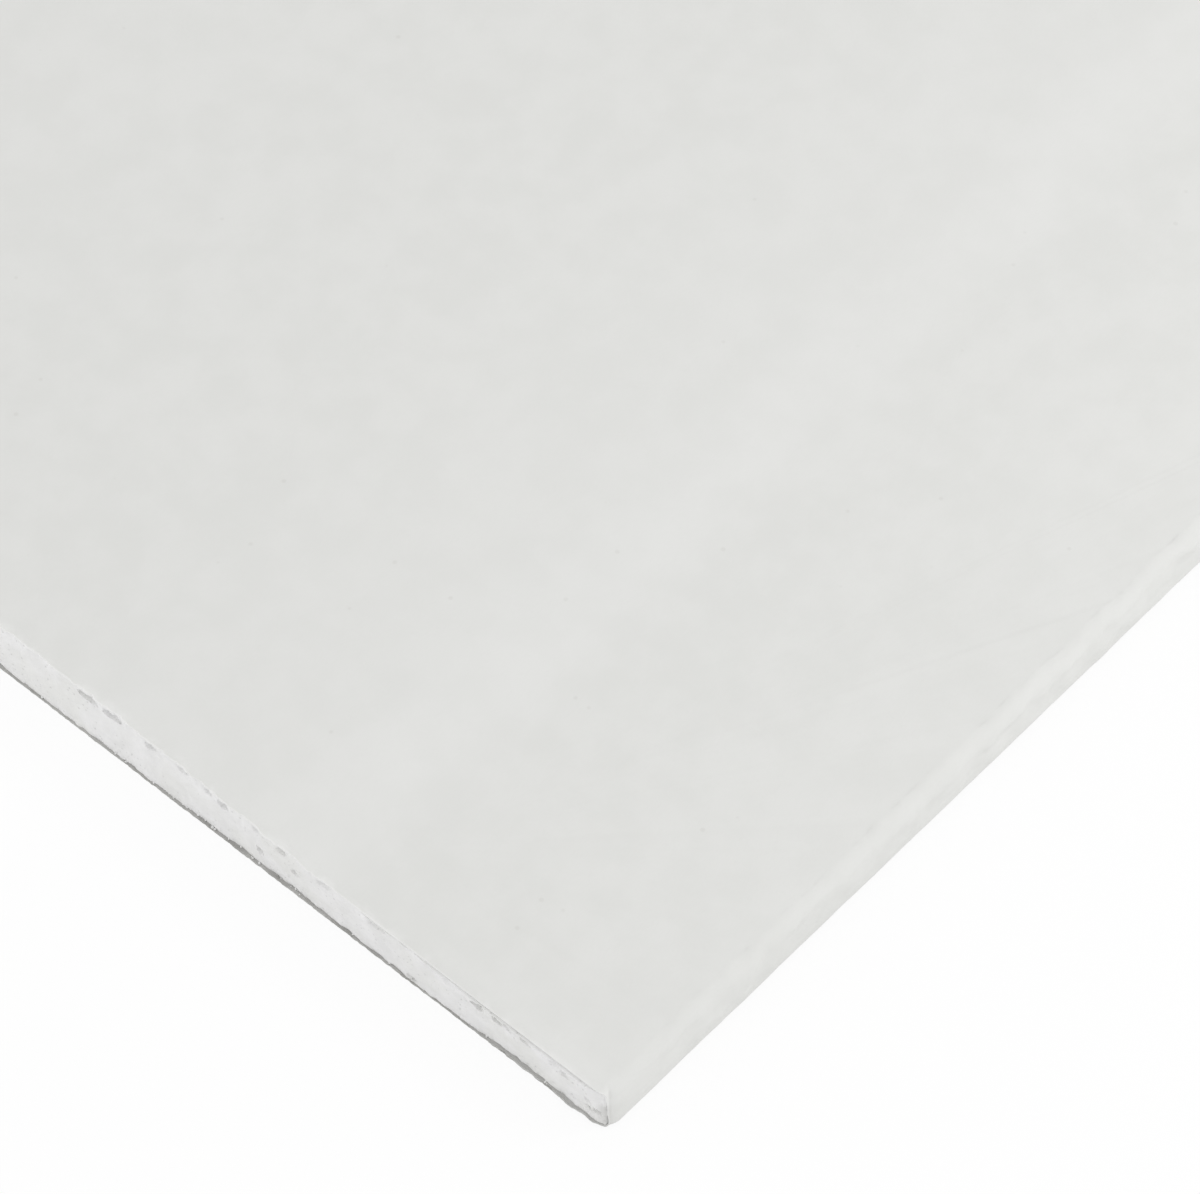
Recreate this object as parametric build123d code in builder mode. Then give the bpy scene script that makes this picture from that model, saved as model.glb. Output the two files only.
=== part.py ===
from build123d import *
import math
import os

# A sheet of drywall lying face up. The gypsum core sits in the face paper, which is folded round both
# long edges and under the back, and the back paper is lapped over the two folded flaps.
# X runs along the sheet, Y across it and Z up, in millimetres. The origin is on the floor, under the
# middle of the sheet.

# Overall size
sheet_length = 2438.4  # eight feet, between the two square-cut ends
sheet_width = 1219.2  # four feet, over the paper-bound long edges
sheet_thickness = 12.7  # half an inch over both papers, between the tapers

# Papers
face_paper_thickness = 0.35
back_paper_thickness = 0.3
flap_width = 25.4  # face paper folded under the back, from the long edge in
flap_reveal = 9.5  # strip of that flap that the back paper leaves bare

# Tapered long edges
taper_width = 63.5  # from the long edge in to the break of slope
taper_depth = 2.2  # how much thinner the sheet is at its long edge
shoulder_reach = 7.5  # how far the rounded shoulder runs each way from the break of slope
face_bend_radius = 2.5  # outside of the paper where it turns down the edge
back_bend_radius = 1.5  # outside of the paper where it turns under the back

# Values that follow from the sizes above
half_width = sheet_width / 2
half_flat = half_width - taper_width
edge_height = sheet_thickness - taper_depth
taper_angle = math.atan2(taper_depth, taper_width)
shoulder_radius = shoulder_reach / math.tan(taper_angle / 2)

# Every section is drawn at one cut end and extruded to the other
cut_end = Plane.YZ.offset(-sheet_length / 2)

# Outside of the folded face paper, closed along the top of the back paper
with BuildSketch(cut_end) as wrapped_outline:
    with BuildLine():
        Polyline(
            (-half_width, back_paper_thickness),
            (half_width, back_paper_thickness),
            (half_width, edge_height),
            (half_flat, sheet_thickness),
            (-half_flat, sheet_thickness),
            (-half_width, edge_height),
            close=True,
        )
    make_face()
    fillet(vertices().filter_by_position(Axis.Y, sheet_thickness, sheet_thickness), shoulder_radius)
    fillet(vertices().filter_by_position(Axis.Y, edge_height, edge_height), face_bend_radius)
    fillet(vertices().group_by(Axis.Y)[0], back_bend_radius)

# Inside of the face paper, and the step down between its flaps to the back paper
with BuildSketch(cut_end) as core_outline:
    add(wrapped_outline.sketch_local)
    offset(amount=-face_paper_thickness)
    with Locations((0, back_paper_thickness + face_paper_thickness / 2)):
        Rectangle(sheet_width - 2 * flap_width, face_paper_thickness)

# Gypsum core, bare at the two cut ends
with BuildPart() as gypsum_core:
    with BuildSketch(cut_end):
        add(core_outline.sketch_local)
    extrude(amount=sheet_length)
gypsum_core.part.label = "gypsum_core"

# Face paper: the face, both long edges and both flaps in one folded piece
with BuildPart() as face_paper:
    with BuildSketch(cut_end):
        add(wrapped_outline.sketch_local)
        add(core_outline.sketch_local, mode=Mode.SUBTRACT)
    extrude(amount=sheet_length)
face_paper.part.label = "face_paper"

# Back paper, flat on the core and over the flaps
with BuildPart() as back_paper:
    with BuildSketch(cut_end):
        with Locations((0, back_paper_thickness / 2)):
            Rectangle(sheet_width - 2 * flap_reveal, back_paper_thickness)
    extrude(amount=sheet_length)
back_paper.part.label = "back_paper"

os.makedirs("parts", exist_ok=True)
for piece in (gypsum_core.part, face_paper.part, back_paper.part):
    export_step(piece, f"parts/{piece.label}.step")
    print(piece.label, "volume", round(piece.volume), "size", piece.bounding_box().size)
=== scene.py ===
# %% [markdown]
# A sheet of drywall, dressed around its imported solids.
# The real sheet is a slab of set gypsum in a pale face paper, which is folded round both long edges, with a
# grey paper on the back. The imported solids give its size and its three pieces. This lesson models each piece
# again with the wear that a cut sheet has, and then gives each its finish, the light and the camera.

import math
import random

import bmesh
import bpy
import numpy as np
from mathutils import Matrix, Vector


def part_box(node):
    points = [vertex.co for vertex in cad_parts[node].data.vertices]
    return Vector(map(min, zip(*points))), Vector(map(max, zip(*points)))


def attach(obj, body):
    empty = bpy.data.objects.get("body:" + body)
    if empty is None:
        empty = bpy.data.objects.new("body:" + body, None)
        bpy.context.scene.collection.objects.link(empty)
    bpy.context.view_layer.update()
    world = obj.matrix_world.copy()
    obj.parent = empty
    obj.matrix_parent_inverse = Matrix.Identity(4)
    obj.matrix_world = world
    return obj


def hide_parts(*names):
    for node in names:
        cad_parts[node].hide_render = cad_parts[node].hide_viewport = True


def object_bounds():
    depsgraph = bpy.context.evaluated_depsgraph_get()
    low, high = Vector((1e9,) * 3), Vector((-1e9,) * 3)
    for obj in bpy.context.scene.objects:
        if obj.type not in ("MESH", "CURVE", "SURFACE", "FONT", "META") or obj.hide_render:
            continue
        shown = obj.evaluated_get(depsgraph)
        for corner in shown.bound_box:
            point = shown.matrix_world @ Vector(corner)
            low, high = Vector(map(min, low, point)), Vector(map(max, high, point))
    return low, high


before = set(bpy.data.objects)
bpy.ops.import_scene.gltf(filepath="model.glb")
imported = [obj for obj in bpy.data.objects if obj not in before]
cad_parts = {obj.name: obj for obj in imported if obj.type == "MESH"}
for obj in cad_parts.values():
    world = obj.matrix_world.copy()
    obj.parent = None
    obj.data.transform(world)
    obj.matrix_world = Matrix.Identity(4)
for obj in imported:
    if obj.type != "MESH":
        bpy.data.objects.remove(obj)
cad_low, cad_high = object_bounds()
print("CAD box", [round(side, 4) for side in cad_high - cad_low])

# %% [markdown]
# Sizes come first. The frame gives the outside of every piece, so the thickness of each paper and the bare
# strip of the flaps are differences between boxes. The taper and the bends are not in any box, so they are
# named here, in metres, as everything in this script is.

# %% Sizes
MM = 0.001
half_length, half_width, sheet_thickness = cad_high
_, core_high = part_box("gypsum_core")
_, back_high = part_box("back_paper")

face_paper_thickness = sheet_thickness - core_high.z
back_paper_thickness = back_high.z
back_paper_half_width = back_high.y

taper_width = 63.5 * MM
taper_depth = 2.2 * MM
shoulder_reach = 7.5 * MM
face_bend_radius = 2.5 * MM
back_bend_radius = 1.5 * MM
flap_width = 25.4 * MM

half_flat = half_width - taper_width
edge_height = sheet_thickness - taper_depth
taper_angle = math.atan2(taper_depth, taper_width)
print("face paper", round(face_paper_thickness / MM, 3), "mm")
print("back paper", round(back_paper_thickness / MM, 3), "mm")

# %% [markdown]
# Modelling by hand is a few moves that repeat: pick a piece, pick some of its edges, cut it, push it.
# Blender's operators act on whatever is selected, so each helper says what it picks and leaves the rest out.

# %% Helpers for working by hand
NEAR = 1e-6  # two places closer than this are one place


def work_on(piece):
    """Leaves only this piece selected and active."""
    if bpy.context.mode != "OBJECT":
        bpy.ops.object.mode_set(mode="OBJECT")
    bpy.ops.object.select_all(action="DESELECT")
    if piece is not None:
        piece.select_set(True)
        bpy.context.view_layer.objects.active = piece


def add_plane(name, size, place, turn=(0, 0, 0)):
    """A flat plane of this size at this place, left in edit mode."""
    work_on(None)
    bpy.ops.mesh.primitive_plane_add(size=1, location=place, rotation=turn)
    piece = bpy.context.object
    piece.name = name
    piece.scale = (*size, 1)
    bpy.ops.object.transform_apply(location=True, rotation=True, scale=True)
    bpy.ops.object.mode_set(mode="EDIT")
    return piece


def pick_edges(piece, wanted):
    """Selects the edges whose two ends pass a test, and gives the longest one's length."""
    bpy.ops.mesh.select_mode(type="EDGE")
    bpy.ops.mesh.select_all(action="DESELECT")
    cage = bmesh.from_edit_mesh(piece.data)
    longest = 0
    for edge in cage.edges:
        if wanted(edge.verts[0].co, edge.verts[1].co):
            edge.select_set(True)
            longest = max(longest, edge.calc_length())
    bmesh.update_edit_mesh(piece.data)
    return longest


def cut_between(piece, spacing, wanted):
    """Cuts the wanted edges and the faces between them, longest first, until none exceeds the spacing."""
    most_lengths = 90  # the operator takes no more than 100 cuts at once
    long_share = 0.7  # edges longer than this share of the longest are cut with it
    longest = pick_edges(piece, wanted)
    while longest > spacing + NEAR:
        least = long_share * longest
        pick_edges(piece, lambda a, b: wanted(a, b) and (a - b).length > least)
        lengths = min(math.ceil(longest / spacing - NEAR), most_lengths)
        bpy.ops.mesh.subdivide(number_cuts=lengths - 1)
        longest = pick_edges(piece, wanted)


def slice_at(piece, axis, stations):
    """Cuts a loop right round the piece at each station along an axis."""
    direction = [0, 0, 0]
    direction[axis] = 1
    for station in stations:
        place = [0, 0, 0]
        place[axis] = station
        bpy.ops.mesh.select_all(action="SELECT")
        bpy.ops.mesh.bisect(plane_co=place, plane_no=direction, threshold=NEAR / 10)


def apply_modifier(piece, name, kind, **settings):
    """Adds a modifier with these settings and applies it."""
    work_on(piece)
    modifier = piece.modifiers.new(name, kind)
    for setting, value in settings.items():
        setattr(modifier, setting, value)
    bpy.ops.object.modifier_apply(modifier=modifier.name)


def places_of(piece):
    """The x, y and z of every point of a piece."""
    flat = np.empty(len(piece.data.vertices) * 3)
    piece.data.vertices.foreach_get("co", flat)
    return flat.reshape(-1, 3).T


def paint(piece, name, weights):
    """A weight for every point of a piece, from 0 to 1, in a vertex group of this name."""
    least_weight = 0.001
    group = piece.vertex_groups.new(name=name)
    for index in np.flatnonzero(weights > least_weight):
        group.add([int(index)], float(min(weights[index], 1)), "REPLACE")
    return name


def push(piece, weights, axis, distance, texture=None, middle=0.0):
    """Pushes a piece along an axis by its painted weights, evenly or by a cloudy texture."""
    name = f"push_{axis}"
    paint(piece, name, weights)
    apply_modifier(
        piece, name, "DISPLACE", direction=axis, strength=distance, mid_level=middle,
        texture=texture, texture_coords="LOCAL", vertex_group=name,
    )
    piece.vertex_groups.clear()


def clouds(name, size, depth=2):
    """A cloudy texture with lumps of about this size, for pushing."""
    texture = bpy.data.textures.new(name, "CLOUDS")
    texture.noise_scale = size
    texture.noise_depth = depth
    return texture


def mark(piece, name, numbers):
    """A number for every point of a piece, for its finish to use."""
    attribute = piece.data.attributes.new(name, "FLOAT", "POINT")
    attribute.data.foreach_set("value", numbers.astype(np.float32))


def fade(distance, reach):
    """1 where the distance is 0, falling smoothly to 0 at the reach."""
    share = np.clip(1 - distance / reach, 0, 1)
    return share * share * (3 - 2 * share)


def finish_piece(piece, node):
    """Smooths the round stretches, and gives the piece its place in the frame."""
    smooth_angle = math.radians(40)
    work_on(piece)
    bpy.ops.object.shade_smooth_by_angle(angle=smooth_angle)
    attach(piece, "root")
    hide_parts(node)
    piece.data.calc_loop_triangles()
    low = [round(min(side) / MM, 2) for side in places_of(piece)]
    high = [round(max(side) / MM, 2) for side in places_of(piece)]
    print(piece.name, len(piece.data.loop_triangles), "triangles, from", low, "to", high, "mm")


# %% [markdown]
# The cut ends show the sheet's layers, so they need points close together, and the long face needs hardly
# any. Within reach of the corner that the camera sees, the points along the cut are 0.3 mm apart. Elsewhere
# they are about a millimetre apart. Along the sheet, rows crowd towards each cut end and then spread out. The
# bound edges get rows of their own, for the dents that handling leaves in them.

# %% Where the points go
close_spacing = 0.3 * MM
flap_spacing = 0.6 * MM
wide_spacing = 1.05 * MM
close_reach = 126 * MM
close_limit = close_reach - half_width
end_rows = [row * MM for row in (0.2, 0.45, 0.75, 1.1, 1.6, 2.5, 4.5, 10)]
near_rows = [row - half_length for row in end_rows]
far_rows = [half_length - row for row in end_rows]
dent_reach = 6 * MM
close_dent_spacing = 1.5 * MM
wide_dent_spacing = 20 * MM
close_dent_reach = 180 * MM
close_dent_limit = close_dent_reach - half_length
print("rows at each cut end", len(end_rows))

# %% [markdown]
# The face paper is one sheet folded like a tray with turned-in lips. It could be a solid cut from a block,
# but a paper wrap is easier to fold than to carve: start from the flat face, extrude its two long edges down
# the taper, down the edge and back under the sheet, then bevel each fold into its round. Solidify gives the
# paper its thickness, inwards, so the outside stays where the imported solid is.

# %% Fold the face paper
face_paper = add_plane("face_paper_wrap", (2 * half_length, 2 * half_flat), (0, 0, sheet_thickness))
SIDES = (-1, 1)  # the long edge that the camera sees, and the other one
for side in SIDES:
    slope_break = side * half_flat
    pick_edges(
        face_paper, lambda a, b: abs(a.y - slope_break) < NEAR and abs(b.y - slope_break) < NEAR
    )
    for fold in (
        (0, side * taper_width, -taper_depth),
        (0, 0, back_paper_thickness - edge_height),
        (0, -side * flap_width, 0),
    ):
        bpy.ops.mesh.extrude_edges_move(TRANSFORM_OT_translate={"value": fold})


def round_fold(piece, out, height, reach, segments):
    """Bevels the two long folds at this distance from the middle and this height."""

    def on_fold(place):
        return abs(abs(place.y) - out) < NEAR and abs(place.z - height) < NEAR

    pick_edges(piece, lambda a, b: on_fold(a) and on_fold(b))
    bpy.ops.mesh.bevel(
        offset_type="OFFSET", offset=reach, segments=segments, affect="EDGES", clamp_overlap=False
    )


face_bend_reach = face_bend_radius * math.tan((math.pi / 2 - taper_angle) / 2)
shoulder_segments = 6
face_bend_segments = 9
back_bend_segments = 7
round_fold(face_paper, half_flat, sheet_thickness, shoulder_reach, shoulder_segments)
round_fold(face_paper, half_width, edge_height, face_bend_reach, face_bend_segments)
round_fold(face_paper, half_width, back_paper_thickness, back_bend_radius, back_bend_segments)
print("folded section has", len(bmesh.from_edit_mesh(face_paper.data).verts) // 2, "points")

# %% Cut the face paper finely where it ends
slice_at(face_paper, 1, [close_limit])


def across(low, high, face_up):
    """A test for edges that run across the sheet, in a stretch of its face or of its flaps."""

    def wanted(a, b):
        level = abs(a.x - b.x) < NEAR and min(a.y, b.y) > low - NEAR and max(a.y, b.y) < high + NEAR
        return level and (min(a.z, b.z) > edge_height / 2) == face_up

    return wanted


cut_between(face_paper, close_spacing, across(face_bend_radius - half_width, close_limit, True))
cut_between(face_paper, wide_spacing, across(close_limit, half_width - face_bend_radius, True))
cut_between(face_paper, flap_spacing, across(back_bend_radius - half_width, 0, False))
cut_between(face_paper, wide_spacing, across(0, half_width - back_bend_radius, False))
cut_between(
    face_paper, flap_spacing,
    lambda a, b: abs(a.x - b.x) < NEAR and abs(a.y - b.y) < NEAR and abs(a.z - b.z) > face_bend_radius,
)
slice_at(face_paper, 0, near_rows + [close_dent_limit] + far_rows)


def lengthwise(low, high):
    """A test for edges that run along the bound edges, in a stretch of the sheet's length."""

    def wanted(a, b):
        level = abs(a.y - b.y) < NEAR and abs(a.z - b.z) < NEAR
        on_edge = half_width - abs(a.y) < dent_reach and a.z > back_paper_thickness + NEAR
        return level and on_edge and min(a.x, b.x) > low - NEAR and max(a.x, b.x) < high + NEAR

    return wanted


cut_between(face_paper, close_dent_spacing, lengthwise(near_rows[-1], close_dent_limit))
cut_between(face_paper, wide_dent_spacing, lengthwise(close_dent_limit, far_rows[-1]))
bpy.ops.mesh.select_all(action="SELECT")
bpy.ops.mesh.normals_make_consistent(inside=False)
bpy.ops.object.mode_set(mode="OBJECT")
apply_modifier(
    face_paper, "paper_thickness", "SOLIDIFY",
    thickness=face_paper_thickness, offset=-1, use_even_offset=True, use_quality_normals=True,
)
print("face paper has", len(face_paper.data.polygons), "faces")

# %% [markdown]
# The plies inside the face paper are greyer, recycled pulp. They show where the folded flap sticks out at a
# cut. Low on the corners, the outside of the bound edge gets the same grey as painted shade, and higher up the
# corners are whitened as a painted highlight. A painted mask would do, but the places follow from the shape,
# so each point gets a number for each: 1 where it shows, and 0 where the pale outer ply does.
# Its distance from the cut is a third.

# %% Where the grey inside of the paper, the painted shade and the painted highlight show
point_count = len(face_paper.data.vertices)
outside = np.arange(point_count) < point_count // 2
x, y, z = places_of(face_paper)
painted_shade_height = 6.2 * MM
painted_shade_fade = 1.2 * MM
painted_shade_reach = 1.2 * MM  # from the cut
edge_shade_share = 0.15
foot_shade_share = 0.8
inner_ply_share = 0.2
flap_ply_share = 0.65  # that much more of the inside shows on the flap
edge_ply_loss = 0.6  # and this share less of it at the bound edge
edge_ply_reach = 3 * MM
highlight_cut_reach = 7 * MM
highlight_edge_reach = 4 * MM

from_cut = half_length - np.abs(x)
from_edge = half_width - np.abs(y)
low_down = fade(z - painted_shade_height, painted_shade_fade)
# Painted shade: the outside of the bound edge is greyed low on the corners, beside the cut.
shaded_edge = edge_shade_share * (from_edge < back_bend_radius)
shaded_foot = foot_shade_share * fade(z, back_bend_radius)
outside_shade = fade(from_cut, painted_shade_reach) * np.maximum(shaded_edge, shaded_foot)
inner_plies = inner_ply_share + flap_ply_share * fade(z - back_bend_radius, MM)
inner_plies *= 1 - edge_ply_loss * fade(from_edge, edge_ply_reach)
mark(face_paper, "grey_ply_and_painted_shade", np.where(outside, outside_shade, inner_plies) * low_down)
# Painted highlight: higher up, the corners are whitened.
painted_highlight = fade(from_cut, highlight_cut_reach) * fade(from_edge, highlight_edge_reach) * (1 - low_down)
mark(face_paper, "painted_highlight", painted_highlight)
mark(face_paper, "from_cut", from_cut)
print("chalked on", int(np.count_nonzero(painted_highlight > 0.01)), "points of the face paper")

# %% [markdown]
# The back paper is flat, so it is a plane at the top of its solid, cut the same way and thickened downwards.

# %% Lay the back paper
back_paper = add_plane(
    "back_paper_sheet", (2 * half_length, 2 * back_paper_half_width), (0, 0, back_paper_thickness)
)
slice_at(back_paper, 1, [close_limit])
cut_between(
    back_paper, close_spacing, lambda a, b: abs(a.x - b.x) < NEAR and max(a.y, b.y) < close_limit + NEAR
)
cut_between(
    back_paper, wide_spacing, lambda a, b: abs(a.x - b.x) < NEAR and min(a.y, b.y) > close_limit - NEAR
)
slice_at(back_paper, 0, near_rows + far_rows)
bpy.ops.object.mode_set(mode="OBJECT")
apply_modifier(back_paper, "paper_thickness", "SOLIDIFY", thickness=back_paper_thickness, offset=-1)
mark(back_paper, "from_cut", half_length - np.abs(places_of(back_paper)[0]))
print("back paper has", len(back_paper.data.polygons), "faces")

# %% [markdown]
# The core fills the papers, and only its two ends ever show. So it starts as one end: a plane on edge, cut
# into columns, with its top following the taper and its foot following the flaps. Rows crowd under the face
# paper and above the back paper, where a cut crumbles. Extruding that end along the sheet makes the other.
# Between its ends it has no points, so the wear of its ends draws it a little inside the papers all along.

# %% Draw the core's end
core_half_width = core_high.y
core = add_plane(
    "gypsum_core_slab", (1, 2 * core_half_width), (-half_length, 0, sheet_thickness / 2), (0, -math.pi / 2, 0)
)
slice_at(core, 1, [close_limit, core_half_width - face_bend_radius])


def level_edges(low, high):
    """A test for edges of the core's end that run across the sheet in this stretch."""
    return lambda a, b: abs(a.z - b.z) < NEAR and min(a.y, b.y) > low - NEAR and max(a.y, b.y) < high + NEAR


cut_between(core, close_spacing, level_edges(-core_half_width, close_limit))
cut_between(core, wide_spacing, level_edges(close_limit, core_half_width - face_bend_radius))
cut_between(core, close_spacing, level_edges(core_half_width - face_bend_radius, core_half_width))


def face_height(out):
    """Height of the face's outside at a distance from the sheet's middle, with its taper and shoulder."""
    past = out - half_flat
    if past < -shoulder_reach:
        return sheet_thickness
    if past > shoulder_reach:
        return sheet_thickness - taper_depth * past / taper_width
    return sheet_thickness - taper_depth / taper_width * (past + shoulder_reach) ** 2 / (4 * shoulder_reach)


def core_top(out):
    """Height of the core's top under the face paper."""
    bend_middle = half_width - face_bend_radius
    if out <= bend_middle:
        return face_height(out) - face_paper_thickness
    middle_height = face_height(bend_middle) - face_bend_radius
    inner_radius = face_bend_radius - face_paper_thickness
    return middle_height + math.sqrt(max(inner_radius ** 2 - (out - bend_middle) ** 2, 0))


def core_foot(out):
    """Height of the core's foot, on the back paper in the middle and on the flaps beside it."""
    step_width = 0.5 * MM
    step = min(max((out - half_width + flap_width) / step_width, 0), 1)
    height = back_paper_thickness + face_paper_thickness * step
    bend_middle = half_width - back_bend_radius
    if out > bend_middle:
        inner_radius = back_bend_radius - face_paper_thickness
        height += inner_radius - math.sqrt(max(inner_radius ** 2 - (out - bend_middle) ** 2, 0))
    return height


cage = bmesh.from_edit_mesh(core.data)
for point in cage.verts:
    shape = core_top if point.co.z > sheet_thickness / 2 else core_foot
    point.co.z = shape(abs(point.co.y))
bmesh.update_edit_mesh(core.data)

# %% Cut the core's end into rows, and extrude it
def upright(a, b):
    """A test for edges that run up the core's end."""
    return abs(a.y - b.y) < NEAR


pick_edges(core, upright)
bpy.ops.mesh.subdivide(number_cuts=2)


def in_third(low, high):
    """A test for upright edges in this share of the core's height."""

    def wanted(a, b):
        foot = core_foot(abs(a.y))
        share = ((a.z + b.z) / 2 - foot) / (core_top(abs(a.y)) - foot)
        return upright(a, b) and low < share < high

    return wanted


top_row = 0.33 * MM
middle_row = 0.6 * MM
foot_row = 0.45 * MM
cut_between(core, top_row, in_third(2 / 3, 1))
cut_between(core, middle_row, in_third(1 / 3, 2 / 3))
cut_between(core, foot_row, in_third(0, 1 / 3))
bpy.ops.mesh.select_all(action="SELECT")
bpy.ops.mesh.extrude_region_move(TRANSFORM_OT_translate={"value": (2 * half_length, 0, 0)})
bpy.ops.mesh.select_all(action="SELECT")
bpy.ops.mesh.normals_make_consistent(inside=False)
bpy.ops.object.mode_set(mode="OBJECT")
print("core has", len(core.data.polygons), "faces")

# %% [markdown]
# A sheet is cut by scoring its face, snapping the core and slitting the back paper. The knife wanders, so
# the edge of the face paper runs in and out of line with the foot, and it rolls that edge down a little. The
# core breaks back above the back paper and leaves a narrow ledge of it. This could be sculpted stroke by
# stroke, but a break has no pattern, so the points of each end are pushed by painted weights: evenly for the
# large shapes, and by cloudy textures for rough ones.

# %% How far the cut wanders
ENDS = (-1, 1)  # the end that the camera sees, and the other one
cut_wander = 1.3 * MM
cut_set_back = 0.2 * MM
rolled_depth = 0.3 * MM
wander_length = 160 * MM
wander_crests = {-1: 42 * MM, 1: 115 * MM}  # along each end, where the face stands out furthest
wander_reach = 12 * MM
roll_start_share = 0.6  # of the height of the bound edge, above which the cut is rolled down
flare_place = 6.5 * MM  # along the seen cut
flare_reach = 6 * MM
flare_height = 2.5 * MM
flare_depth = 0.35 * MM
tip_reach = 4 * MM
hardest_corner_radius = 3.1 * MM
worn_corner_radius = 1.6 * MM
leaning_height = edge_height - face_paper_thickness


def along_cut(y):
    """Distance along a cut end from the long edge that the camera sees."""
    return y + half_width


def near_end(piece, end, reach):
    """Weights that are 1 at one cut end and fade to 0 at this distance from it."""
    x, _, _ = places_of(piece)
    return fade(half_length - end * x, reach)


def waves(y, crest, length):
    """Waves along a cut, from 0 to 1, with one of their crests here."""
    return 0.5 + 0.5 * np.cos(2 * np.pi * (along_cut(y) - crest) / length)


def wander(piece, end, weights):
    """Runs the top of the cut out of line with its foot and back, in slow waves."""
    _, y, z = places_of(piece)
    rise = np.clip((z - back_paper_thickness) / (leaning_height - back_paper_thickness), 0, 1)
    push(piece, weights * rise, "X", -end * cut_set_back)
    push(piece, weights * rise * waves(y, wander_crests[end], wander_length), "X", end * cut_wander)


def roll_down(piece, weights):
    """Presses the top of the cut down a little."""
    _, _, z = places_of(piece)
    rise = np.clip((z / edge_height - roll_start_share) / (1 - roll_start_share), 0, 1)
    push(piece, weights * rise, "Z", -rolled_depth)


def flare(piece, weights):
    """Spreads the foot of the seen cut beside its corner, where the sheet was stood on it."""
    _, y, z = places_of(piece)
    beside_corner = fade(np.abs(along_cut(y) - flare_place), flare_reach)
    at_tip = fade(along_cut(y), tip_reach) * fade(z, tip_reach)
    push(piece, weights * beside_corner * fade(z, flare_height), "X", -flare_depth)
    push(piece, weights * at_tip, "Y", -flare_depth)


def round_corner(piece, end, side, radius):
    """Wears one upright corner of the sheet round, by drawing the square of that radius in to a circle."""
    x, y, _ = places_of(piece)
    near_cut = np.clip(1 - (half_length - end * x) / radius, 0, 1)
    near_side = np.clip(1 - (half_width - side * y) / radius, 0, 1)
    drawn_in = 1 - np.maximum(near_cut, near_side) / np.maximum(np.hypot(near_cut, near_side), NEAR)
    push(piece, near_cut * drawn_in, "X", -end * radius)
    push(piece, near_side * drawn_in, "Y", -side * radius)


def wear_corners(piece):
    """The corner in front of the camera took the hardest knock."""
    for end in ENDS:
        for side in SIDES:
            hardest = end < 0 and side < 0
            round_corner(piece, end, side, hardest_corner_radius if hardest else worn_corner_radius)


print("the cut wanders", round(cut_wander / MM, 2), "mm")

# %% [markdown]
# Cut paper has a rim that is ragged at the scale of its fibres, and the knife ruffles the top of the face's
# rim into a low burr. Handling leaves shallow dents along the bound edges, which break up the light on their
# bends. A bump in the finish could fake them, but they are parts of a millimetre to a millimetre deep and a
# raking light finds them, so they are in the mesh.

# %% Wear the papers
rim_fibres = clouds("rim_fibres", 0.9 * MM, 3)
rim_waves = clouds("rim_waves", 4.5 * MM, 2)
burr_lumps = clouds("burr_lumps", 3.5 * MM, 2)
edge_dents = clouds("edge_dents", 11 * MM, 2)
edge_knocks = clouds("edge_knocks", 4.5 * MM, 2)
EVEN = 0.5  # the middle of a cloudy texture, which then pushes both ways alike
dent_depth = 0.8 * MM
dent_foot = 0.6 * MM  # dents start this high on the bound edge
dent_rise = 3 * MM
knock_depth = 1.2 * MM
rim_reach = 1.6 * MM
fibre_depth = 0.5 * MM
back_fibre_depth = 0.3 * MM
wave_depth = 1.1 * MM
wave_reach = 6 * MM
burr_height = 0.5 * MM
burr_middle = 0.3  # under the middle, so the burr stands up more than it sinks
burr_reach = 1.8 * MM
burr_stop = 15 * MM  # the burr dies out from here to the bound edge
burr_fade = 10 * MM

_, y, z = places_of(face_paper)
on_edge = fade(half_width - np.abs(y), dent_reach) * np.clip((z - dent_foot) / dent_rise, 0, 1)
for axis, weights in (("Y", on_edge), ("Z", on_edge * (z > edge_height / 2))):
    push(face_paper, weights, axis, dent_depth, edge_dents, EVEN)
    push(face_paper, weights, axis, knock_depth, edge_knocks, EVEN)
for end in ENDS:
    _, y, z = places_of(face_paper)
    on_face = outside * (z > edge_height - face_bend_radius)
    on_face = on_face * fade(np.abs(y) - half_width + burr_stop, burr_fade)
    roll_down(face_paper, near_end(face_paper, end, rim_reach))
    wander(face_paper, end, near_end(face_paper, end, wander_reach))
    push(face_paper, near_end(face_paper, end, rim_reach), "X", fibre_depth, rim_fibres, EVEN)
    push(face_paper, near_end(face_paper, end, wave_reach), "X", wave_depth, rim_waves, EVEN)
    burr = near_end(face_paper, end, burr_reach) * on_face
    push(face_paper, burr, "Z", burr_height, burr_lumps, burr_middle)
    push(back_paper, near_end(back_paper, end, rim_reach), "X", back_fibre_depth, rim_fibres, EVEN)
for paper in (face_paper, back_paper):
    flare(paper, near_end(paper, ENDS[0], tip_reach))
wear_corners(face_paper)
print("worn rims on", face_paper.name, "and", back_paper.name)
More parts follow.
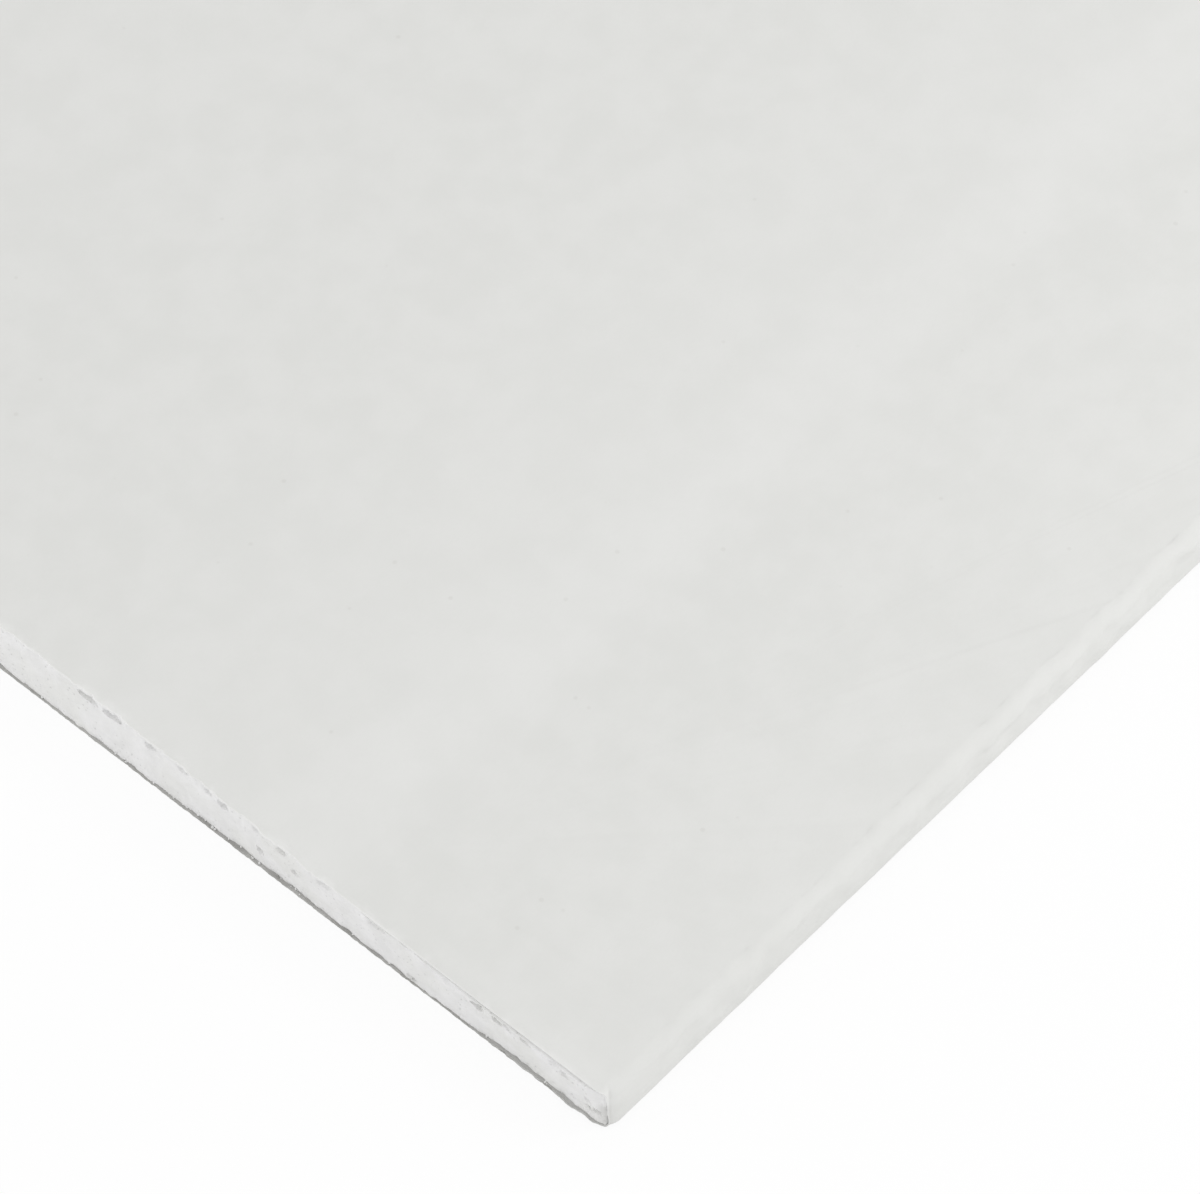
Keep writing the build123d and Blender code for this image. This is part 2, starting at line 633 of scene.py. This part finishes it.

# %% [markdown]
# The core's break is the most lifelike part of the sheet. From large to small it has a lean that leaves the
# ledge, slow unevenness, chips that fell out from under the face paper, and grain. Right beside the paper,
# which holds it together, the gypsum follows the paper's own rim. Sculpting would do, but pushes can be tried
# again with other numbers. The ledge and the chips that show in the photograph are listed along the cut,
# and the rest are random from a fixed seed, so every run gives the same break.

# %% Lean and unevenness of the core's ends
ledge_depth = 0.7 * MM
ledge_least_share = 0.5
ledge_wave_length = 61 * MM
ledge_crest = 18 * MM
seen_ledge = (
    # millimetres along the cut, share of the full depth
    (0, 0.3), (2, 0.5), (4, 0.75), (8, 0.85), (24, 0.9), (28, 0.5), (34, 0.3), (41, 0.3), (45, 0.6),
    (50, 0.45), (54, 0.6), (62, 0.6), (67, 0.95), (80, 0.95), (86, 0.65), (95, 0.6), (101, 0.6),
    (110, 0.45), (126, 0.4),
)
ledge_curve = 1.4  # how steeply the break runs out onto the ledge
corner_ledge_loss = 0.5
held_reach = 1.2 * MM  # how far from the paper the gypsum still follows its fibres
drawn_reach = 5 * MM  # how far from the paper the gypsum still follows its waves
held_share = 0.8
corner_reach = 8 * MM  # how far from a corner the gypsum is crumbled
crumbled_top_share = 0.35  # how much it is crumbled elsewhere, under the face paper
crumble_depth = 0.7 * MM
foot_depth = 0.6 * MM
lump_depth = 0.35 * MM
dent_room = 0.12 * MM  # keeps the less worn side clear of the dents in its paper
core_shade_reach = 3.2 * MM
core_tops = np.vectorize(core_top)
core_feet = np.vectorize(core_foot)
broken_lumps = clouds("broken_lumps", 7 * MM, 2)
broken_foot = clouds("broken_foot", 2.5 * MM, 3)
crumbled = clouds("crumbled", 1.8 * MM, 3)

x, y, z = places_of(core)
foot = core_feet(np.abs(y))
core_rise = np.clip((z - foot) / (core_tops(np.abs(y)) - foot), 0, 1)
core_drop = core_tops(np.abs(y)) + face_paper_thickness - z
core_along = along_cut(y)
from_side = core_half_width - np.abs(y)
from_paper = np.minimum(core_drop - face_paper_thickness, from_side)
held = fade(from_paper, held_reach)
loose = 1 - held_share * held
ledge = ledge_least_share + (1 - ledge_least_share) * waves(y, ledge_crest, ledge_wave_length) ** 3
ledge *= 1 - corner_ledge_loss * fade(from_side, corner_reach)
ledge_stations, ledge_shares = np.transpose(seen_ledge)
seen_here = (x < 0) & (core_along < close_reach)
ledge = np.where(seen_here, np.interp(core_along, ledge_stations * MM, ledge_shares), ledge)
crumbling = loose * np.maximum(fade(from_side, corner_reach), crumbled_top_share * core_rise)
for end in ENDS:
    on_end = (np.sign(x) == end).astype(float)
    roll_down(core, on_end)
    wander(core, end, on_end)
    push(core, on_end * held, "X", fibre_depth, rim_fibres, EVEN)
    push(core, on_end * fade(from_paper, drawn_reach), "X", wave_depth, rim_waves, EVEN)
    push(core, on_end * ledge * (1 - core_rise) ** ledge_curve, "X", -end * ledge_depth)
    push(core, on_end * loose * np.sqrt(1 - core_rise), "X", foot_depth, broken_foot, EVEN)
    push(core, on_end * crumbling, "X", crumble_depth, crumbled, EVEN)
    push(core, on_end * loose, "X", lump_depth, broken_lumps, EVEN)
flare(core, (x < 0).astype(float))
push(core, fade(core_half_width - y, MM), "Y", -dent_room)
# Painted shade: where the core's corners are greyed low down.
mark(core, "painted_corner_shade", fade(from_side, core_shade_reach) * fade(z - painted_shade_height, painted_shade_fade))
print("ledge up to", round(ledge_depth / MM, 2), "mm wide at the foot")

# %% Chips and grain of the core's ends
chip_depth = 2.2 * MM
chip_half_height = 0.75 * MM
chip_drop = 1.1 * MM  # most chips lie this far under the face, and the paper overhangs them
chip_drop_spread = 0.2 * MM
chip_gaps = (3 * MM, 11 * MM)
chip_half_lengths = (0.7 * MM, 2.1 * MM)
chip_shares = (0.4, 1)
low_chip_share = 0.3  # so many of the places have a chip lower down too
low_chip_drops = (3 * MM, 10 * MM)
low_chip_half_length = 0.8 * MM
low_chip_shares = (0.3, 0.8)
bowls_per_chip = 4
bowl_shift = 0.55  # most that a bowl lies off along the chip, as a share of its half length
bowl_drop = 0.3  # most that it lies above or below, as a share of the half height
bowl_lengths = (0.5, 0.9)
bowl_heights = (0.7, 1)
bowl_depths = (0.7, 1)
coarse_grain_depth = 0.22 * MM
fine_grain_depth = 0.14 * MM
seen_chips = (
    # along the cut, under the face and half length, all in millimetres, and share of the full depth
    (110.5, 1.5, 2.3, 1), (105, 1.7, 2, 1), (96.5, 1, 0.9, 0.6), (90, 1.1, 1.6, 0.4), (84, 1.2, 0.8, 0.7),
    (80, 1.1, 1.3, 0.8), (72.5, 0.9, 1.2, 0.4), (67.5, 1.3, 0.9, 0.6), (58, 1, 1.6, 0.4),
    (47.5, 1, 1.8, 0.4), (32, 0.9, 1.4, 0.2), (26.5, 1.2, 1.2, 0.8), (22.5, 1.5, 0.9, 0.8),
    (20.5, 1.2, 0.8, 0.7), (16.5, 1.3, 1.1, 0.5), (11, 1, 0.9, 0.3), (9, 2.3, 0.8, 0.4),
    (73, 7.5, 0.9, 0.8), (65.5, 5.7, 0.9, 0.7), (41, 10.4, 0.9, 0.6), (4.5, 5.4, 0.8, 0.35),
    (2.6, 6.6, 0.8, 0.5),
)
dice = random.Random(12)


def scattered_chips(low, high):
    """Chips thrown along a stretch of the cut: most of them under the paper, and a few lower down."""
    chips = []
    along = low
    while along < high:
        along += dice.uniform(*chip_gaps)
        half_chip = dice.uniform(*chip_half_lengths)
        drop = dice.gauss(chip_drop, chip_drop_spread)
        chips.append((along, drop, half_chip, dice.uniform(*chip_shares)))
        if dice.random() < low_chip_share:
            drop = dice.uniform(*low_chip_drops)
            chips.append((along, drop, low_chip_half_length, dice.uniform(*low_chip_shares)))
    return chips


def chip_bowls(chips):
    """Weights of the chips in the core's ends, each a few bowls that overlap, for a ragged outline."""
    bowls = np.zeros_like(core_along)
    for along, drop, half_chip, share in chips:
        for number in range(bowls_per_chip):
            bowl_along = along + dice.uniform(-bowl_shift, bowl_shift) * half_chip
            bowl_under = drop + dice.uniform(-bowl_drop, bowl_drop) * chip_half_height
            half_bowl = dice.uniform(*bowl_lengths) * half_chip
            half_height = dice.uniform(*bowl_heights) * chip_half_height
            out_along = (core_along - bowl_along) / half_bowl
            out_down = (core_drop - bowl_under) / half_height
            bowl = np.sqrt(np.clip(1 - out_along ** 2 - out_down ** 2, 0, 1))
            bowls = np.maximum(bowls, share * dice.uniform(*bowl_depths) * bowl)
    return bowls


near_chips = [
    (along * MM, drop * MM, half_chip * MM, share) for along, drop, half_chip, share in seen_chips
]
near_chips += scattered_chips(close_reach, 2 * half_width)
far_chips = scattered_chips(0, 2 * half_width)
coarse_grain = clouds("coarse_grain", 1.6 * MM, 3)
fine_grain = clouds("fine_grain", 0.6 * MM, 2)
for end, chips in zip(ENDS, (near_chips, far_chips)):
    on_end = (np.sign(x) == end).astype(float)
    push(core, on_end * chip_bowls(chips), "X", -end * chip_depth)
    push(core, on_end * loose, "X", coarse_grain_depth, coarse_grain, EVEN)
    push(core, on_end * loose, "X", fine_grain_depth, fine_grain, EVEN)
wear_corners(core)
print(len(near_chips), "chips on the near end,", len(far_chips), "on the far end")

# %% [markdown]
# Crumbs of gypsum stay behind on the ledge. Particles could scatter them, but a few hundred copies need no
# more than a loop. One crumb is a small ball with its points shaken about. It is copied along both ledges at
# random sizes and turns, more of them where the ledge in the photograph is grey with dust, and one larger
# grain sticks out of the break by the corner. The copies are joined to the core they broke from.

# %% Crumbs on the ledge
work_on(None)
bpy.ops.mesh.primitive_ico_sphere_add(subdivisions=1, radius=1)
crumb = bpy.context.object
bpy.ops.object.mode_set(mode="EDIT")
bpy.ops.mesh.select_all(action="SELECT")
bpy.ops.transform.vertex_random(offset=0.3, uniform=0.5, normal=0.2, seed=4)
bpy.ops.object.mode_set(mode="OBJECT")

crumb_count = 230
crumb_sizes = (0.1 * MM, 0.34 * MM)
crumb_squash = (0.7, 1.3)
crumb_lift = 0.6  # a crumb's middle stands this share of its size above the paper
crumb_inset = 0.25 * MM
corner_gap = 10 * MM
crumb_stretches = (
    (corner_gap, close_reach),
    (83 * MM, 106 * MM),
    (corner_gap, 2 * half_width - corner_gap),
)
grain_along = 4.4 * MM
grain_height = 3.3 * MM
grain_reach = 0.35 * MM
grain_size = 0.6 * MM
copies = []


def drop_crumb(place, size):
    """One crumb of about this size at a place, turned and squashed at random."""
    copy = crumb.copy()
    copy.data = crumb.data.copy()
    copy.location = place
    copy.rotation_euler = [dice.uniform(0, math.tau) for turn in range(3)]
    copy.scale = [size * dice.uniform(*crumb_squash) for side in range(3)]
    bpy.context.collection.objects.link(copy)
    copies.append(copy)


for number in range(crumb_count):
    end = dice.choice(ENDS)
    size = dice.uniform(*crumb_sizes)
    along = dice.uniform(*dice.choice(crumb_stretches))
    inward = dice.uniform(crumb_inset, ledge_depth)
    height = back_paper_thickness + crumb_lift * size
    drop_crumb((end * (half_length - inward), along - half_width, height), size)

x, y, z = places_of(core)
seat = np.argmin(np.hypot(along_cut(y) - grain_along, z - grain_height) + (x > 0))
drop_crumb((x[seat] - grain_reach, y[seat], z[seat]), grain_size)
bpy.data.objects.remove(crumb)
work_on(core)
for copy in copies:
    copy.select_set(True)
bpy.ops.object.join()
print(len(copies), "crumbs joined to the core")

# %% Finish the pieces
finish_piece(core, "gypsum_core")
finish_piece(face_paper, "face_paper")
finish_piece(back_paper, "back_paper")

# %% [markdown]
# Now the finishes. Each is a small tree of nodes over Object coordinates, so a pattern keeps its real size
# and place on the sheet. The trees could be wired node by node, but a few helpers keep them short: one adds a
# node, one does a sum, one makes a soft step from 0 to 1, and two lay a colour over another.

# %% Helpers for materials
CLOUD_RANGE = (0.3, 0.7)  # what cloudy noise seldom leaves


def feed(tree, socket, value):
    """Gives an input a value, or links it to the socket that feeds it."""
    if isinstance(value, bpy.types.NodeSocket):
        tree.links.new(value, socket)
    else:
        socket.default_value = value


def add_node(tree, kind, inputs=None, **settings):
    """Adds a node with these inputs and settings."""
    node = tree.nodes.new(kind)
    for setting, value in settings.items():
        setattr(node, setting, value)
    for name, value in (inputs or {}).items():
        feed(tree, node.inputs[name], value)
    return node


def work_out(tree, operation, first, second=0.0):
    """One sum of two values."""
    return add_node(tree, "ShaderNodeMath", {0: first, 1: second}, operation=operation).outputs[0]


def soft_step(tree, value, low, high):
    """0 where the value is at low, 1 where it is at high, and smooth between."""
    inputs = {"Value": value, "From Min": low, "From Max": high}
    return add_node(tree, "ShaderNodeMapRange", inputs, interpolation_type="SMOOTHSTEP").outputs[0]


def mix_colours(tree, share, first, second):
    """The second colour over the first, by a share."""
    inputs = {0: share, 6: first, 7: second}
    return add_node(tree, "ShaderNodeMix", inputs, data_type="RGBA").outputs[2]


def tint(tree, colour, mask, share, over):
    """A colour with another over it where a mask shows, at most by this share."""
    return mix_colours(tree, work_out(tree, "MULTIPLY", mask, share), colour, over)


def number_on(tree, name):
    """A number that was marked on the points of the mesh."""
    return add_node(tree, "ShaderNodeAttribute", attribute_name=name).outputs["Fac"]


def noise(tree, vector, scale, detail=2.0):
    """Cloudy noise, about 0.5."""
    inputs = {"Vector": vector, "Scale": scale, "Detail": detail}
    return add_node(tree, "ShaderNodeTexNoise", inputs).outputs["Fac"]


def stretched(tree, vector, turn, scale):
    """Coordinates turned about the sheet's upright axis and stretched, for patterns that run one way."""
    inputs = {"Vector": vector, "Rotation": (0, 0, turn), "Scale": scale}
    return add_node(tree, "ShaderNodeMapping", inputs).outputs[0]


def new_group(name, inputs, outputs):
    """An empty node group with these sockets: its tree, its inputs by name and its outputs by name."""
    tree = bpy.data.node_groups.new(name, "ShaderNodeTree")
    for label, kind in inputs.items():
        tree.interface.new_socket(name=label, in_out="INPUT", socket_type=kind)
    for label in outputs:
        tree.interface.new_socket(name=label, in_out="OUTPUT", socket_type="NodeSocketFloat")
    return tree, tree.nodes.new("NodeGroupInput").outputs, tree.nodes.new("NodeGroupOutput").inputs


def grouped(tree, group, inputs):
    """A node group placed in a material with its own values."""
    node = add_node(tree, "ShaderNodeGroup", None, node_tree=group)
    for name, value in inputs.items():
        feed(tree, node.inputs[name], value)
    return node.outputs


def new_material(name, piece):
    """A material on a piece: its tree, its shader and the Object coordinates."""
    material = bpy.data.materials.new(name)
    material.use_nodes = True
    tree = material.node_tree
    piece.data.materials.clear()
    piece.data.materials.append(material)
    return tree, tree.nodes["Principled BSDF"], add_node(tree, "ShaderNodeTexCoord").outputs["Object"]


def roughen(tree, shader, cloud, smoothest, roughest):
    """Roughness between these two, by a cloud."""
    inputs = {"Value": cloud, "From Min": CLOUD_RANGE[0], "From Max": CLOUD_RANGE[1]}
    inputs.update({"To Min": smoothest, "To Max": roughest})
    feed(tree, shader.inputs["Roughness"], add_node(tree, "ShaderNodeMapRange", inputs).outputs[0])


def raise_grain(tree, shader, height, strength, distance):
    """Relief that is too fine for the mesh."""
    inputs = {"Height": height, "Strength": strength, "Distance": distance}
    feed(tree, shader.inputs["Normal"], add_node(tree, "ShaderNodeBump", inputs).outputs[0])


# %% [markdown]
# Three effects are shared. They could be repeated in each finish, but as node groups they are built once.
# Paper of any kind is cloudy where its pulp lay thick or thin, and fibrous, with fibres that lie both ways
# across each other. Flecks are small round spots in some of the cells of a Voronoi pattern: bits of bark in
# paper, bubbles in gypsum. Dust is chalk that the cut left on both papers.

# %% Shared effects
SOCKET_VALUE = "NodeSocketFloat"
SOCKET_VECTOR = "NodeSocketVector"

paper_formation, given, result = new_group(
    "paper_formation",
    {"Vector": SOCKET_VECTOR, "Cloud Scale": SOCKET_VALUE, "Fibre Scale": SOCKET_VALUE},
    ("Cloud", "Fibre", "Height"),
)
fibre_stretch = (1, 7, 7)
fibre_turns = (0.45, -0.6)
slants = [stretched(paper_formation, given["Vector"], turn, fibre_stretch) for turn in fibre_turns]
crossing_fibres = [noise(paper_formation, slant, given["Fibre Scale"]) for slant in slants]
fibres = work_out(paper_formation, "MAXIMUM", *crossing_fibres)
cloud = noise(paper_formation, given["Vector"], given["Cloud Scale"], 4.0)
tooth_scale = work_out(paper_formation, "MULTIPLY", given["Fibre Scale"], 2.0)
tooth = noise(paper_formation, given["Vector"], tooth_scale)
feed(paper_formation, result["Cloud"], cloud)
feed(paper_formation, result["Fibre"], soft_step(paper_formation, fibres, 0.5, 0.75))
feed(paper_formation, result["Height"], work_out(paper_formation, "ADD", fibres, tooth))

flecks, given, result = new_group(
    "flecks",
    {"Vector": SOCKET_VECTOR, "Scale": SOCKET_VALUE, "Radius": SOCKET_VALUE, "Share": SOCKET_VALUE},
    ("Mask",),
)
cells = add_node(flecks, "ShaderNodeTexVoronoi", {"Vector": given["Vector"], "Scale": given["Scale"]})
cell_number = add_node(flecks, "ShaderNodeSeparateColor", {"Color": cells.outputs["Color"]}).outputs[0]
chosen = work_out(flecks, "LESS_THAN", cell_number, given["Share"])
inner_radius = work_out(flecks, "MULTIPLY", given["Radius"], 0.4)
inside = soft_step(flecks, cells.outputs["Distance"], given["Radius"], inner_radius)
feed(flecks, result["Mask"], work_out(flecks, "MULTIPLY", chosen, inside))

cut_dust, given, result = new_group(
    "cut_dust",
    {"Vector": SOCKET_VECTOR, "Distance": SOCKET_VALUE, "Reach": SOCKET_VALUE},
    ("Mask", "Rim"),
)
rim_dust_reach = 0.15 * MM
dust_band = soft_step(cut_dust, given["Distance"], given["Reach"], 0.0)
dust_rim = soft_step(cut_dust, given["Distance"], rim_dust_reach, 0.0)
dust_patches = soft_step(cut_dust, noise(cut_dust, given["Vector"], 240.0, 5.0), 0.42, 0.6)
rim_share = work_out(cut_dust, "ADD", work_out(cut_dust, "MULTIPLY", dust_patches, 0.25), 0.65)
feed(cut_dust, result["Mask"], work_out(cut_dust, "MULTIPLY", dust_band, dust_patches))
feed(cut_dust, result["Rim"], work_out(cut_dust, "MULTIPLY", dust_rim, rim_share))
print("shared effects:", [group.name for group in bpy.data.node_groups])

# %% [markdown]
# The face paper is a smooth, matt, pale ivory grey. A photograph of paper could be laid on it, but its
# mottling is so faint that noise gives the same life to the tone, with a sparse fleck here and there, and
# slow streaks along the sheet from the machine that made it. The shoulder of the taper gets a painted
# highlight, a little lighter. Its cut rim is white with dust, which spreads onto the face in places. The
# painted highlight and painted shade on the corners, and the grey inside, show where the numbers on the
# mesh say.

# %% Face paper
thin_pulp = (0.723, 0.726, 0.706, 1)
thick_pulp = (0.747, 0.749, 0.731, 1)
pale_streak = (0.765, 0.766, 0.75, 1)
grey_fibre = (0.66, 0.66, 0.64, 1)
bark_fleck = (0.56, 0.55, 0.52, 1)
# White of the dust at the cut, also used for the painted highlight along the shoulder.
dust_and_highlight_white = (0.85, 0.85, 0.84, 1)
# White of the painted highlight on the corners.
highlight_white = (0.87, 0.87, 0.86, 1)
# Grey of the inside plies, also used for the painted shade low on the corners.
inside_ply_and_shade_grey = (0.42, 0.417, 0.405, 1)
streak_scale = (0.7, 16, 16)
face_dust_reach = 1.7 * MM
face_tooth = 0.03 * MM

tree, shader, place = new_material("face_paper_finish", face_paper)
formation = grouped(tree, paper_formation, {"Vector": place, "Cloud Scale": 130.0, "Fibre Scale": 900.0})
streaks = noise(tree, stretched(tree, place, 0, streak_scale), 1.0, 3.0)
colour = mix_colours(tree, soft_step(tree, formation["Cloud"], *CLOUD_RANGE), thin_pulp, thick_pulp)
colour = tint(tree, colour, soft_step(tree, streaks, 0.35, 0.65), 0.25, pale_streak)
colour = tint(tree, colour, formation["Fibre"], 0.12, grey_fibre)
sparse_flecks = grouped(tree, flecks, {"Vector": place, "Scale": 160.0, "Radius": 0.09, "Share": 0.3})
colour = tint(tree, colour, sparse_flecks["Mask"], 0.25, bark_fleck)
# A painted highlight along the shoulder of the taper.
crosswise = add_node(tree, "ShaderNodeSeparateXYZ", {"Vector": place}).outputs["Y"]
past_break = work_out(tree, "SUBTRACT", work_out(tree, "ABSOLUTE", crosswise), half_flat)
shoulder = soft_step(tree, work_out(tree, "ABSOLUTE", past_break), 2 * shoulder_reach, 0.0)
colour = tint(tree, colour, shoulder, 0.16, dust_and_highlight_white)
distance = number_on(tree, "from_cut")
dust = grouped(tree, cut_dust, {"Vector": place, "Distance": distance, "Reach": face_dust_reach})
dusted = work_out(tree, "MAXIMUM", work_out(tree, "MULTIPLY", dust["Mask"], 0.4), dust["Rim"])
colour = mix_colours(tree, dusted, colour, dust_and_highlight_white)
# The painted highlight on the corners.
colour = tint(tree, colour, number_on(tree, "painted_highlight"), 0.25, highlight_white)
# The grey inside ply, with painted shade low on the corners.
colour = mix_colours(tree, number_on(tree, "grey_ply_and_painted_shade"), colour, inside_ply_and_shade_grey)
feed(tree, shader.inputs["Base Color"], colour)
feed(tree, shader.inputs["Specular IOR Level"], 0.3)
roughen(tree, shader, formation["Cloud"], 0.72, 0.86)
raise_grain(tree, shader, formation["Height"], 0.35, face_tooth)
print("face paper finished")

# %% [markdown]
# Set gypsum is chalk white, dry and full of bubbles from the foam that was stirred into it. The largest holes
# are in the mesh. Holes for all the small bubbles would take far too many points, so they are flecks, sunk by
# a bump and darkened with painted shade, over a powdery grain. Starch and paper dust tint the gypsum a warmer
# grey in patches, and its corners are greyed low down with painted shade.

# %% Gypsum
damp_chalk = (0.796, 0.794, 0.79, 1)
dry_chalk = (0.848, 0.845, 0.845, 1)
starch_tint = (0.785, 0.786, 0.765, 1)
grain_shade = (0.7, 0.7, 0.695, 1)
# Grey of the painted shade inside the small bubbles.
bubble_painted_shade = (0.58, 0.58, 0.57, 1)
# Grey of the painted shade low on the core's corners.
painted_shade_grey = (0.64, 0.637, 0.625, 1)
gypsum_relief = 0.12 * MM

tree, shader, place = new_material("gypsum_finish", core)
chalk = noise(tree, place, 260.0, 5.0)
grain = noise(tree, place, 3200.0, 3.0)
colour = mix_colours(tree, soft_step(tree, chalk, *CLOUD_RANGE), damp_chalk, dry_chalk)
colour = tint(tree, colour, soft_step(tree, noise(tree, place, 110.0), 0.45, 0.65), 0.6, starch_tint)
colour = tint(tree, colour, soft_step(tree, grain, 0.5, 0.2), 0.35, grain_shade)
bubbles = grouped(tree, flecks, {"Vector": place, "Scale": 1000.0, "Radius": 0.24, "Share": 0.45})["Mask"]
# Painted shade in the small bubbles, which the bump also sinks.
colour = tint(tree, colour, bubbles, 0.5, bubble_painted_shade)
# Painted shade, low on the core's corners.
colour = tint(tree, colour, number_on(tree, "painted_corner_shade"), 0.9, painted_shade_grey)
feed(tree, shader.inputs["Base Color"], colour)
feed(tree, shader.inputs["Roughness"], 0.95)
feed(tree, shader.inputs["Specular IOR Level"], 0.15)
raise_grain(tree, shader, work_out(tree, "SUBTRACT", grain, bubbles), 0.6, gypsum_relief)
print("gypsum finished")

# %% [markdown]
# The back paper is coarse grey board of recycled pulp. It is made of the same groups as the face paper, with
# other values: stronger clouds, plain fibres, and flecks of both dark and light scrap.

# %% Back paper
thin_board = (0.375, 0.371, 0.358, 1)
thick_board = (0.43, 0.426, 0.412, 1)
pale_fibre = (0.53, 0.52, 0.49, 1)
dark_fleck = (0.2, 0.195, 0.18, 1)
light_fleck = (0.6, 0.59, 0.56, 1)
grey_dust = (0.75, 0.75, 0.74, 1)
scrap_stretch = (1, 3, 3)
back_dust_reach = 1.5 * MM
back_tooth = 0.06 * MM

tree, shader, place = new_material("back_paper_finish", back_paper)
formation = grouped(tree, paper_formation, {"Vector": place, "Cloud Scale": 70.0, "Fibre Scale": 450.0})
colour = mix_colours(tree, soft_step(tree, formation["Cloud"], *CLOUD_RANGE), thin_board, thick_board)
colour = tint(tree, colour, formation["Fibre"], 0.3, pale_fibre)
dark_scrap = grouped(tree, flecks, {"Vector": place, "Scale": 260.0, "Radius": 0.16, "Share": 0.3})
colour = tint(tree, colour, dark_scrap["Mask"], 0.5, dark_fleck)
slanting = stretched(tree, place, 0.8, scrap_stretch)
light_scrap = grouped(tree, flecks, {"Vector": slanting, "Scale": 190.0, "Radius": 0.2, "Share": 0.2})
colour = tint(tree, colour, light_scrap["Mask"], 0.4, light_fleck)
distance = number_on(tree, "from_cut")
dust = grouped(tree, cut_dust, {"Vector": place, "Distance": distance, "Reach": back_dust_reach})
colour = tint(tree, colour, dust["Mask"], 0.22, grey_dust)
feed(tree, shader.inputs["Base Color"], colour)
feed(tree, shader.inputs["Specular IOR Level"], 0.2)
roughen(tree, shader, formation["Cloud"], 0.82, 0.95)
raise_grain(tree, shader, formation["Height"], 0.5, back_tooth)
print("back paper finished")

# %% [markdown]
# The camera stands where the photograph was taken: close above the corner, looking down, through a long lens.
# It could be framed by eye, but its angles and the corner's place in the picture were measured in the
# photograph's own pixels, so it is worked out from those.

# %% Camera
scene = bpy.context.scene
scene.view_settings.view_transform = "Standard"
photo_width = 1200
photo_height = 1194
focal_pixels = 7000
corner_pixel = Vector((609.5, 1134.8))
corner_distance = 1071 * MM
view_elevation = math.radians(54.42)
view_heading = math.radians(41.76)
sheet_corner = Vector((-half_length, -half_width, 0))


def direction(heading, elevation):
    """A unit vector with this heading from +X and this elevation above the floor."""
    level = math.cos(elevation)
    return Vector((level * math.cos(heading), level * math.sin(heading), math.sin(elevation)))


ahead = direction(view_heading, -view_elevation)
rightward = direction(view_heading - math.pi / 2, 0)
upward = rightward.cross(ahead)
offset = corner_pixel - Vector((photo_width, photo_height)) / 2
to_corner = ahead + (rightward * offset.x - upward * offset.y) / focal_pixels
work_on(None)
bpy.ops.object.camera_add(location=sheet_corner - to_corner * corner_distance)
camera = bpy.context.object
camera.rotation_euler = ahead.to_track_quat("-Z", "Y").to_euler()
camera.data.sensor_width = 36
camera.data.lens = focal_pixels / photo_width * camera.data.sensor_width
camera.data.clip_start = 10 * MM
scene.camera = camera
print("lens", round(camera.data.lens), "mm, camera at", [round(side, 3) for side in camera.location])

# %% [markdown]
# The light is a soft white room, with a low lamp on the right for the bound edge, one on the left for the
# cut end, and a lamp above the right, which makes the face a little brighter on that side. More light would
# whiten the floor, but it would bleach the sheet too. So the floor is pale, and most of the brightness that
# the camera sees on it is its own: it reads as white and keeps a faint shadow.

# %% Light and floor
WHITE = (1, 1, 1, 1)
room_strength = 0.9
floor_white_share = 0.9
floor_grey = (0.94, 0.94, 0.94, 1)
floor_size = 40
lamp_aim = (80, 50, 0)


def seen_directly(tree):
    """1 for rays from the camera, a mirror or glass, and 0 for rays that carry light."""
    light_path = add_node(tree, "ShaderNodeLightPath").outputs
    rays = work_out(tree, "MAXIMUM", light_path["Is Camera Ray"], light_path["Is Glossy Ray"])
    return work_out(tree, "MAXIMUM", rays, light_path["Is Transmission Ray"])


world = bpy.data.worlds.new("soft_white_room")
scene.world = world
world.use_nodes = True
room = world.node_tree
lighting = room.nodes["Background"]
feed(room, lighting.inputs["Color"], WHITE)
feed(room, lighting.inputs["Strength"], room_strength)
backdrop = add_node(room, "ShaderNodeBackground", {"Color": WHITE, "Strength": 1.0})
shown = add_node(
    room, "ShaderNodeMixShader", {0: seen_directly(room), 1: lighting.outputs[0], 2: backdrop.outputs[0]}
)
feed(room, room.nodes["World Output"].inputs["Surface"], shown.outputs[0])


def add_lamp(name, place, size, strength):
    """A square lamp at a place, measured from the corner in millimetres as its aim is."""
    place = Vector(place) * MM
    aim = Vector(lamp_aim) * MM
    bpy.ops.object.light_add(type="AREA", location=sheet_corner + place)
    lamp = bpy.context.object
    lamp.name = name
    lamp.rotation_euler = (aim - place).to_track_quat("-Z", "Y").to_euler()
    lamp.data.size = size
    lamp.data.energy = strength
    lamp.visible_camera = False


add_lamp("upper_right_lamp", (375, -309, 401), size=190 * MM, strength=0.53)
add_lamp("low_right_lamp", (520, -339, 108), size=190 * MM, strength=0.16)
add_lamp("low_left_lamp", (-330, 531, 75), size=140 * MM, strength=0.37)

bpy.ops.mesh.primitive_plane_add(size=floor_size, location=(0, 0, 0))
floor = bpy.context.object
floor.name = "floor"
floor_material = bpy.data.materials.new("pale_floor")
floor_material.use_nodes = True
tree = floor_material.node_tree
shader = tree.nodes["Principled BSDF"]
feed(tree, shader.inputs["Base Color"], floor_grey)
feed(tree, shader.inputs["Roughness"], 1.0)
feed(tree, shader.inputs["Specular IOR Level"], 0.0)
own_white = add_node(tree, "ShaderNodeEmission", {"Color": WHITE, "Strength": 1.0})
white_share = work_out(tree, "MULTIPLY", seen_directly(tree), floor_white_share)
floor_shader = add_node(
    tree, "ShaderNodeMixShader", {0: white_share, 1: shader.outputs[0], 2: own_white.outputs[0]}
)
feed(tree, tree.nodes["Material Output"].inputs["Surface"], floor_shader.outputs[0])
floor.data.materials.append(floor_material)
